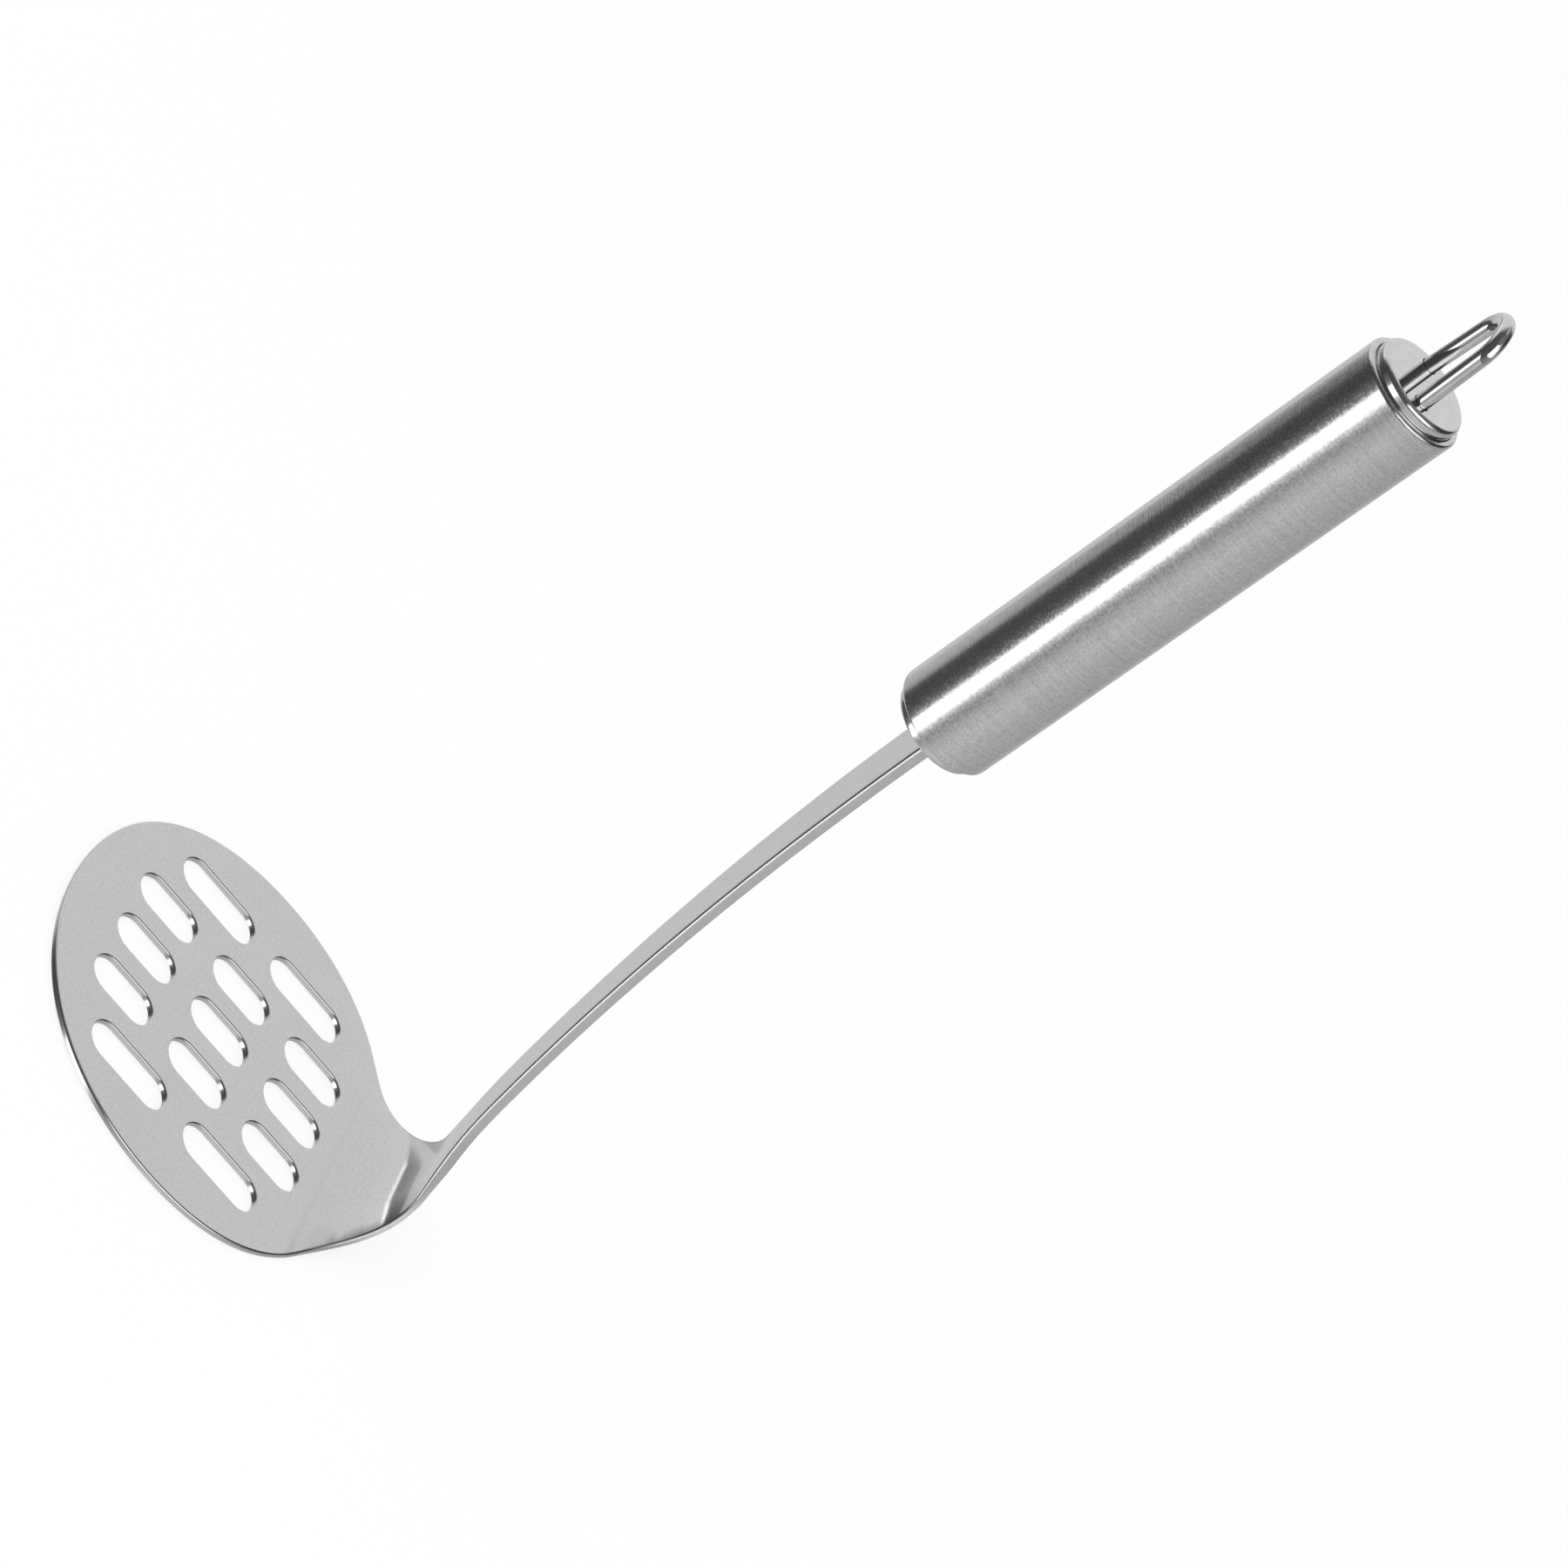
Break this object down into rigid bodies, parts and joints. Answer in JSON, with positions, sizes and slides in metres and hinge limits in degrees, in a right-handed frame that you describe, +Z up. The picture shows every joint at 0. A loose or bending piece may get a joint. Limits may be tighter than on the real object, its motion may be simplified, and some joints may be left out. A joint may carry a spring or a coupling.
{
  "type": "potato masher",
  "caption": "All-steel potato masher: round slotted mashing plate, curved flat shank, round tube handle with end caps and a wire hanging loop.",
  "frame": {"origin": "centre of the slot pattern, on the underside of the mashing plate", "axes": "+Z up from the mashing plate along the masher's height, +X towards the neck, +Y to the left of the neck seen from the plate's tip"},
  "size_m": [0.0898, 0.0904, 0.2991],
  "materials": {
    "blade_steel": "stainless steel sheet, satin polished",
    "tube_steel": "stainless steel tube, brushed round its circumference",
    "cap_steel": "stainless steel, mirror polished",
    "wire_steel": "stainless steel wire, mirror polished",
    "weld_steel": "stainless weld bead, dull and uncleaned"
  },
  "bodies": {
    "root": {"mashing_blade": "blade_steel", "handle_tube": "tube_steel", "front_cap": "cap_steel", "rear_cap": "cap_steel", "hanging_loop": "wire_steel", "tang_weld": "weld_steel", "loop_welds": "weld_steel"}
  },
  "joints": []
}
